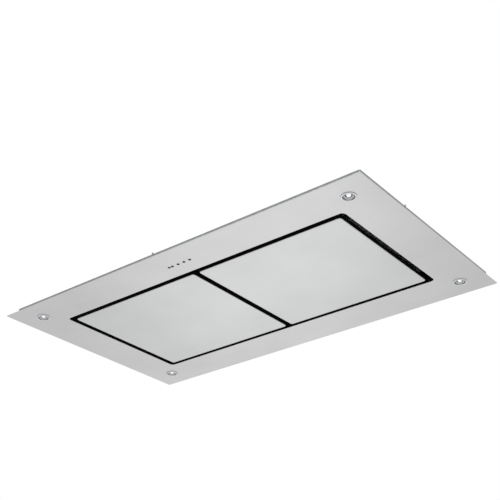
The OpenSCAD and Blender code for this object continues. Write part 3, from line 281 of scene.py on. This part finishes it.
FINISH = {
    "plate_steel": ground_stainless("ground_stainless_plate", "#B5B5B6", "#BFBFC0", 0.34),
    "panel_steel": ground_stainless("ground_stainless_panel", "#B5B6B6", "#BFC0C0", 0.34),
    "galvanised": galvanised_sheet(),
    "black_paint": black_powder_coat(),
    "filter_aluminium": mill_aluminium(),
    "bright_metal": bright_chrome(),
    "button_plastic": moulded_plastic("polished_abs", "#050506", "#09090A", 0.22, 0.02, 0.05),
    "dark_plastic": moulded_plastic("grained_abs", "#1E1F21", "#292A2C", 0.5, 0.3),
    "lens_plastic": opal_lens(),
    "board": moulded_plastic("solder_mask", "#1F5233", "#2A6B42", 0.35, 0.05),
}
FILTER_CLOTH = filter_cloth()
SATIN_RING = turned_metal("satin_ring", "#BDBEC0", "#C8C9CB", 0.3)
# The bowl is the same satin metal as the lip, made darker: painted shade for the recess inside the lip
SATIN_BOWL_PAINTED_SHADE = turned_metal("satin_bowl_painted_shade", "#A4A5A7", "#B0B1B3", 0.2)


# Shaping tools

def from_underside(z):
    """A height above the plate's visible underside, in mm, as a height in the frame, in metres."""
    return (z - HANG_Z) * MM


# In degrees: an edge that turns by more than this stays sharp, so that the flats beside an eased edge shade
# as flats
CUT_ANGLE, FOLD_ANGLE, TURNED_ANGLE = 12, 20, 40
# Edges of a CAD shape that turn by more than this are rounded
ROUNDED_ANGLE = 35
# Points closer than this, in metres, are one point
WELD = 2e-6
# The smallest corner radius of a ring of points, in mm
LEAST_CORNER = 1
# Sides of a lamp's rings and of smaller turned shapes, and of a small hole
LAMP_STEPS, TURN_STEPS, HOLE_STEPS = 64, 48, 32


def finish_piece(name, mesh, slot, body, replaced, smooth_angle=FOLD_ANGLE, finish=None):
    """Makes an object of a mesh, gives it its finish and lets it ride on its body."""
    mesh.shade_smooth()
    mesh.set_sharp_from_angle(angle=math.radians(smooth_angle))
    piece = bpy.data.objects.new(name, mesh)
    bpy.context.scene.collection.objects.link(piece)
    mesh.materials.clear()
    mesh.materials.append(finish or FINISH[slot])
    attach(piece, body)
    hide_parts(*replaced)
    return piece


def rounded_loop(length, width, corner, steps=10):
    """Points round a rectangle with round corners, in mm."""
    points = []
    for quarter, (sx, sy) in enumerate(((1, 1), (-1, 1), (-1, -1), (1, -1))):
        cx, cy = sx * (length / 2 - corner), sy * (width / 2 - corner)
        for i in range(steps + 1):
            a = math.pi / 2 * (quarter + i / steps)
            points.append((cx + corner * math.cos(a), cy + corner * math.sin(a)))
    return points


def circle_loop(x, y, radius, steps=TURN_STEPS):
    return [(x + radius * math.cos(2 * math.pi * i / steps), y + radius * math.sin(2 * math.pi * i / steps))
            for i in range(steps)]


def pierced_sheet(name, loops, z, thickness, edge):
    """A flat sheet with holes and eased edges. The first loop is its outline, the others its holes."""
    outline = bpy.data.curves.new(name, "CURVE")
    outline.dimensions, outline.fill_mode = "2D", "BOTH"
    outline.extrude, outline.bevel_depth, outline.bevel_resolution = (thickness / 2 - edge) * MM, edge * MM, 2
    outline.offset = -edge * MM
    for loop in loops:
        spline = outline.splines.new("POLY")
        spline.points.add(len(loop) - 1)
        for point, (x, y) in zip(spline.points, loop):
            point.co = (x * MM, y * MM, 0, 1)
        spline.use_cyclic_u = True
    shape = bpy.data.objects.new(name + "_outline", outline)
    bpy.context.scene.collection.objects.link(shape)
    bpy.context.view_layer.update()
    mesh = bpy.data.meshes.new_from_object(shape.evaluated_get(bpy.context.evaluated_depsgraph_get()))
    bpy.data.objects.remove(shape)
    work = bmesh.new()
    work.from_mesh(mesh)
    bmesh.ops.remove_doubles(work, verts=work.verts, dist=WELD)
    bmesh.ops.translate(work, verts=work.verts, vec=(0, 0, from_underside(z + thickness / 2)))
    work.to_mesh(mesh)
    work.free()
    return mesh


def sheet_rings(length, width, corner, profile, x, band=False):
    """Sheet that follows a rectangle with round corners. The profile lists (inset, height), from the middle of
    the outside face to the middle of the inside face, or all round the section of a band."""
    work = bmesh.new()
    rings = []
    for inset, z in profile:
        loop = rounded_loop(length - 2 * inset, width - 2 * inset, max(corner - inset, LEAST_CORNER))
        rings.append([work.verts.new(((px + x) * MM, py * MM, from_underside(z))) for px, py in loop])
    for low, high in zip(rings, rings[1:] + rings[:1] if band else rings[1:]):
        for i in range(len(low)):
            j = (i + 1) % len(low)
            work.faces.new((low[i], low[j], high[j], high[i]))
    if not band:
        work.faces.new(list(reversed(rings[0])))
        work.faces.new(rings[-1])
    bmesh.ops.recalc_face_normals(work, faces=work.faces)
    mesh = bpy.data.meshes.new("sheet")
    work.to_mesh(mesh)
    work.free()
    return mesh


def quarter_turn(inset, z, radius, turn_in, turn_up, steps=6):
    """Points of a quarter round that starts flat at (inset + radius * turn_in, z) and ends upright at inset."""
    return [(inset + radius * turn_in * (1 - math.sin(a)), z + radius * turn_up * (1 - math.cos(a)))
            for a in (math.pi / 2 * i / steps for i in range(steps + 1))]


def turned_shape(places, profile, steps=TURN_STEPS):
    """One shape turned round a vertical axis at each place. The profile lists (radius, height) in mm."""
    work = bmesh.new()
    for x, y in places:
        rings = []
        for radius, z in profile:
            if radius == 0:
                rings.append([work.verts.new((x * MM, y * MM, from_underside(z)))])
            else:
                rings.append([work.verts.new((px * MM, py * MM, from_underside(z)))
                              for px, py in circle_loop(x, y, radius, steps)])
        for low, high in zip(rings, rings[1:]):
            for i in range(steps):
                j = (i + 1) % steps
                corners = [low[i % len(low)], low[j % len(low)], high[j % len(high)], high[i % len(high)]]
                work.faces.new(list(dict.fromkeys(corners)))
    bmesh.ops.recalc_face_normals(work, faces=work.faces)
    mesh = bpy.data.meshes.new("turned")
    work.to_mesh(mesh)
    work.free()
    return mesh


def eased_copy(node, edge):
    """The node's own shape with its sharp edges rounded, as folded or moulded parts have them."""
    work = bmesh.new()
    work.from_mesh(CAD[node].data)
    bmesh.ops.remove_doubles(work, verts=work.verts, dist=WELD)
    bmesh.ops.dissolve_limit(work, angle_limit=math.radians(1), verts=work.verts, edges=work.edges)
    sharp = [e for e in work.edges if len(e.link_faces) == 2 and e.calc_face_angle() > math.radians(ROUNDED_ANGLE)]
    bmesh.ops.bevel(work, geom=sharp, offset=edge * MM, segments=2, profile=0.5, affect="EDGES",
                    clamp_overlap=True)
    mesh = bpy.data.meshes.new(node)
    work.to_mesh(mesh)
    work.free()
    return mesh


# Ceiling plate

PLATE_L, PLATE_W, PLATE_T = 1200, 700, 2
PLATE_CORNER, PLATE_EDGE = 2, 0.35
OPENING_L, OPENING_W, OPENING_CORNER = 952, 454, 12
LAMP_PLACES = [(-LAMP_X, -LAMP_Y), (LAMP_X, -LAMP_Y), (LAMP_X, LAMP_Y), (-LAMP_X, LAMP_Y)]
LAMP_HOLE_R = 17
CONTROL_Y = -278
CONTROL_XS = (-35.5, -24.5, -4.5, 15.5, 35.5)
CONTROL_HOLE_R = 4.05

plate = pierced_sheet("plate", [rounded_loop(PLATE_L, PLATE_W, PLATE_CORNER),
                                rounded_loop(OPENING_L, OPENING_W, OPENING_CORNER)]
                      + [circle_loop(x, y, LAMP_HOLE_R) for x, y in LAMP_PLACES]
                      + [circle_loop(x, CONTROL_Y, CONTROL_HOLE_R, HOLE_STEPS) for x in CONTROL_XS],
                      0, PLATE_T, PLATE_EDGE)
finish_piece("plate_sheet", plate, "plate_steel", "hood", ["ceiling_plate"], CUT_ANGLE)


# Suction panel trays

PANEL_L, PANEL_W, PANEL_CORNER, PANEL_X = 448, 422, 7, 233
PANEL_FACE_Z, PANEL_TOP_Z, PANEL_T = -1.7, 11.3, 1
FOLD_R, RIM_R = 1.8, 0.35
# Rings of points on the flat face: close beside the fold, and well inside it
BESIDE_FOLD, INSIDE_FACE = FOLD_R + 4, 60

# The steel face with its rolled fold, and the upright sides behind it, which the slots show. The sides take the
# black coat as painted shade, so that the slots beside the panels render almost black
FOLD_TOP_Z = PANEL_FACE_Z + FOLD_R
face_profile = ([(INSIDE_FACE, PANEL_FACE_Z), (BESIDE_FOLD, PANEL_FACE_Z)]
                + quarter_turn(0, PANEL_FACE_Z, FOLD_R, 1, 1)
                + [(PANEL_T, FOLD_TOP_Z), (FOLD_R, PANEL_FACE_Z + PANEL_T), (BESIDE_FOLD, PANEL_FACE_Z + PANEL_T),
                   (INSIDE_FACE, PANEL_FACE_Z + PANEL_T)])
side_profile = [(0, FOLD_TOP_Z), (0, PANEL_TOP_Z - RIM_R), (RIM_R / 3, PANEL_TOP_Z - RIM_R / 3),
                (RIM_R, PANEL_TOP_Z), (PANEL_T - RIM_R, PANEL_TOP_Z),
                (PANEL_T - RIM_R / 3, PANEL_TOP_Z - RIM_R / 3), (PANEL_T, PANEL_TOP_Z - RIM_R),
                (PANEL_T, FOLD_TOP_Z)]
for side, sign in (("left", -1), ("right", 1)):
    face = sheet_rings(PANEL_L, PANEL_W, PANEL_CORNER, face_profile, sign * PANEL_X)
    finish_piece(side + "_panel_tray", face, "panel_steel", side + "_panel", [side + "_panel_face"])
    sides = sheet_rings(PANEL_L, PANEL_W, PANEL_CORNER, side_profile, sign * PANEL_X, band=True)
    # Painted shade: the black coat on the sides darkens the slots beside the panels
    finish_piece(side + "_panel_sides", sides, "black_paint", side + "_panel", [side + "_panel_face"])


# Spot lamps

# The bezel's rolled lip with its barrel, the satin bowl inside it, the dark lamp holder and the opal lens.
# Each profile lists (radius, height) in mm.
BOWL_RIM, BOWL_FLOOR, BOWL_STEPS = (15.1, -1.2), (9.5, 5.4), 10


def bowl_curve():
    """Points from the bowl's rim to its floor, steep at the rim and flatter towards the middle."""
    (rim_r, rim_z), (floor_r, floor_z) = BOWL_RIM, BOWL_FLOOR
    return [(floor_r + (rim_r - floor_r) * math.cos(a), rim_z + (floor_z - rim_z) * math.sin(a))
            for a in (math.pi / 2 * i / BOWL_STEPS for i in range(BOWL_STEPS + 1))]


lip_profile = [(15.2, -1.3), (15.45, -1.6), (15.75, -1.9), (16.3, -2.14), (17, -2.2), (18.4, -2.2), (19.1, -2.1),
               (19.65, -1.8), (19.95, -1.3), (20, -0.6), (20, 0), (16.5, 0), (16.5, 10), (15.2, 10), (15.2, -1.3)]
bowl_profile = bowl_curve() + [(9.5, 9.9), (15.1, 9.9), (15.1, -1.2)]
holder_profile = [(9.4, 4.6), (9, 4.2), (7, 4.2), (6.6, 4.6), (6.6, 9.9), (9.4, 9.9), (9.4, 4.6)]
lens_profile = [(0, 0.6), (1.8, 0.75), (3.4, 1.3), (4.8, 2.2), (5.8, 3.4), (6.3, 4.8), (6.4, 6.4), (6.4, 7.4),
                (0, 7.4)]
for number, place in enumerate(LAMP_PLACES, 1):
    bezel = [f"lamp_bezel_{number}"]
    finish_piece(f"lamp_lip_{number}", turned_shape([place], lip_profile, LAMP_STEPS), "bright_metal", "hood",
                 bezel, TURNED_ANGLE, SATIN_RING)
    finish_piece(f"lamp_bowl_{number}", turned_shape([place], bowl_profile, LAMP_STEPS), "bright_metal", "hood",
                 bezel, TURNED_ANGLE, SATIN_BOWL_PAINTED_SHADE)
    finish_piece(f"lamp_holder_{number}", turned_shape([place], holder_profile), "dark_plastic", "hood", bezel,
                 TURNED_ANGLE)
    finish_piece(f"lamp_glass_{number}", turned_shape([place], lens_profile), "lens_plastic", "hood",
                 [f"lamp_lens_{number}"], TURNED_ANGLE)


# Push buttons

# A cap with a rolled edge and a shallow finger dish, its flange and its stem, as (radius, height) in mm
button_profile = [(0, -0.62), (1.6, -0.66), (2.6, -0.76), (3.1, -0.8), (3.45, -0.72), (3.68, -0.5), (3.75, -0.2),
                  (3.75, 2.3), (4.9, 2.3), (4.9, 3.3), (2, 3.3), (2, 7.6), (0, 7.6)]
window_profile = [(0, -0.8), (1.5, -0.77), (2.7, -0.66), (3.4, -0.4), (3.7, 0), (3.75, 0.4), (3.75, 2), (4.9, 2),
                  (4.9, 4.8), (0, 4.8)]
finish_piece("receiver_dome", turned_shape([(CONTROL_XS[0], CONTROL_Y)], window_profile), "button_plastic", "hood",
             ["receiver_window"], TURNED_ANGLE)
for number, x in enumerate(CONTROL_XS[1:], 1):
    finish_piece(f"button_cap_{number}", turned_shape([(x, CONTROL_Y)], button_profile), "button_plastic",
                 f"push_button_{number}", [f"button_{number}"], TURNED_ANGLE)


# Folded, moulded and cast parts

# Each of these keeps its own shape and gets the rounded edges of a folded sheet or a moulding, in mm
EDGE_OF = {
    "collar_frame": 0.35, "collar_tabs": 0.3, "recess_liner": 0.25, "suction_box": 0.3, "suction_box_lid": 0.25,
    "filter_carrier": 0.3, "crossbar": 0.35, "catch_magnets": 0.4, "left_panel_back": 0.2, "right_panel_back": 0.2,
    "left_hinge_leaves": 0.3, "right_hinge_leaves": 0.3, "left_strike_plates": 0.2, "right_strike_plates": 0.2,
    "hinge_brackets": 0.3, "hinge_pins": 0.25, "left_filter_frame": 0.2, "right_filter_frame": 0.2,
    "left_filter_latch": 0.4, "right_filter_latch": 0.4, "lamp_bodies": 0.3, "lamp_clips": 0.12,
    "control_housing": 0.35, "hanging_brackets": 0.5, "bracket_rivets": 0.5, "fan_housing": 0.25, "fan_lid": 0.25,
    "inlet_ring": 0.25, "impeller": 0.3, "motor_shaft": 0.4, "motor": 0.8, "duct_spigot": 0.3, "left_flap": 0.25,
    "right_flap": 0.25, "flap_pin": 0.4, "electronics_box": 0.6, "electronics_cover": 0.6, "cable_gland": 0.4,
    "sheet_fasteners": 0.3,
}
BODY_OF = {node: body for body, members in frame["record"]["behaviour"]["bodies"].items() for node in members}
for node, edge in EDGE_OF.items():
    finish_piece(node + "_eased", eased_copy(node, edge), SLOT_OF[node], BODY_OF[node], [node])

for node in ("left_filter_mesh", "right_filter_mesh"):
    CAD[node].data.materials.clear()
    CAD[node].data.materials.append(FILTER_CLOTH)
for node in ("control_board", "circuit_board", "inner_wiring"):
    CAD[node].data.materials.clear()
    CAD[node].data.materials.append(FINISH[SLOT_OF[node]])


# Floor and light

FLOOR_Z, FLOOR_R, FLOOR_STEPS = -2.6, 2.2, 96
# Matt white paint with faint specks, so the floor isn't quite even
FLOOR_SPECK_MM = 25
# The light that the sky sheds, where the white that the camera, metal and glass see is 1
SKY_LEVEL = 0.7
# Each softbox hangs at its place, faces its aim and has a size in metres and a power in watts. The mirrored one is
# far left and below, where the plate mirrors it towards the camera: the plate shades from its near right part to
# its ends, as in the photograph. The floor's one faces down and lights the floor that curved parts mirror.
SOFTBOXES = [
    ("front_softbox", (1.5, -1.9, 3.2), (0, 0, 0), 2.0, 60),
    ("top_softbox", (-1.5, 1.8, 3.0), (0, 0, 0), 2.4, 60),
    ("mirrored_softbox", (-1.15, 1.59, -1.8), (0, 0, 0), 1.75, 3.9),
    ("floor_softbox", (-1.3, -1.5, -1.4), (-1.3, -1.5, FLOOR_Z), 1.6, 8),
]


def lay_floor():
    work = bmesh.new()
    bmesh.ops.create_circle(work, cap_ends=True, segments=FLOOR_STEPS, radius=FLOOR_R)
    mesh = bpy.data.meshes.new("floor")
    work.to_mesh(mesh)
    work.free()
    floor = bpy.data.objects.new("floor", mesh)
    floor.location.z = FLOOR_Z
    bpy.context.scene.collection.objects.link(floor)
    material, tree, surface, place = new_finish("painted_floor", {"Roughness": 0.9})
    speck = add(tree, "ShaderNodeTexNoise", {"Vector": place, "Scale": 1 / (FLOOR_SPECK_MM * MM)})
    tree.links.new(shade_between(tree, speck.outputs[0], "#F4F4F3", "#FAFAF9"), surface.inputs["Base Color"])
    mesh.materials.append(material)
    floor.visible_camera = False


def light_world():
    """White where the camera, metal or glass sees it, and a softer level for the light that it sheds."""
    world = bpy.data.worlds.new("studio")
    world.use_nodes = True
    tree = world.node_tree
    tree.nodes.clear()
    rays = add(tree, "ShaderNodeLightPath").outputs
    mirrored = add(tree, "ShaderNodeMath", {0: rays["Is Glossy Ray"], 1: rays["Is Transmission Ray"]},
                   operation="MAXIMUM")
    seen = add(tree, "ShaderNodeMath", {0: rays["Is Camera Ray"], 1: mirrored.outputs[0]}, operation="MAXIMUM")
    white = add(tree, "ShaderNodeBackground", {"Color": (1, 1, 1, 1), "Strength": 1.0})
    soft = add(tree, "ShaderNodeBackground", {"Color": (1, 1, 1, 1), "Strength": SKY_LEVEL})
    mix = add(tree, "ShaderNodeMixShader", {0: seen.outputs[0], 1: soft.outputs[0], 2: white.outputs[0]})
    add(tree, "ShaderNodeOutputWorld", {"Surface": mix.outputs[0]})
    bpy.context.scene.world = world


def hang_softbox(name, place, aim, size, power):
    light = bpy.data.lights.new(name, "AREA")
    light.shape, light.size, light.energy = "DISK", size, power
    lamp = bpy.data.objects.new(name, light)
    lamp.location = place
    lamp.rotation_mode = "QUATERNION"
    lamp.rotation_quaternion = (Vector(aim) - Vector(place)).to_track_quat("-Z", "Y")
    lamp.visible_camera = False
    bpy.context.scene.collection.objects.link(lamp)


lay_floor()
light_world()
for softbox in SOFTBOXES:
    hang_softbox(*softbox)
bpy.context.scene.view_settings.view_transform = "Standard"
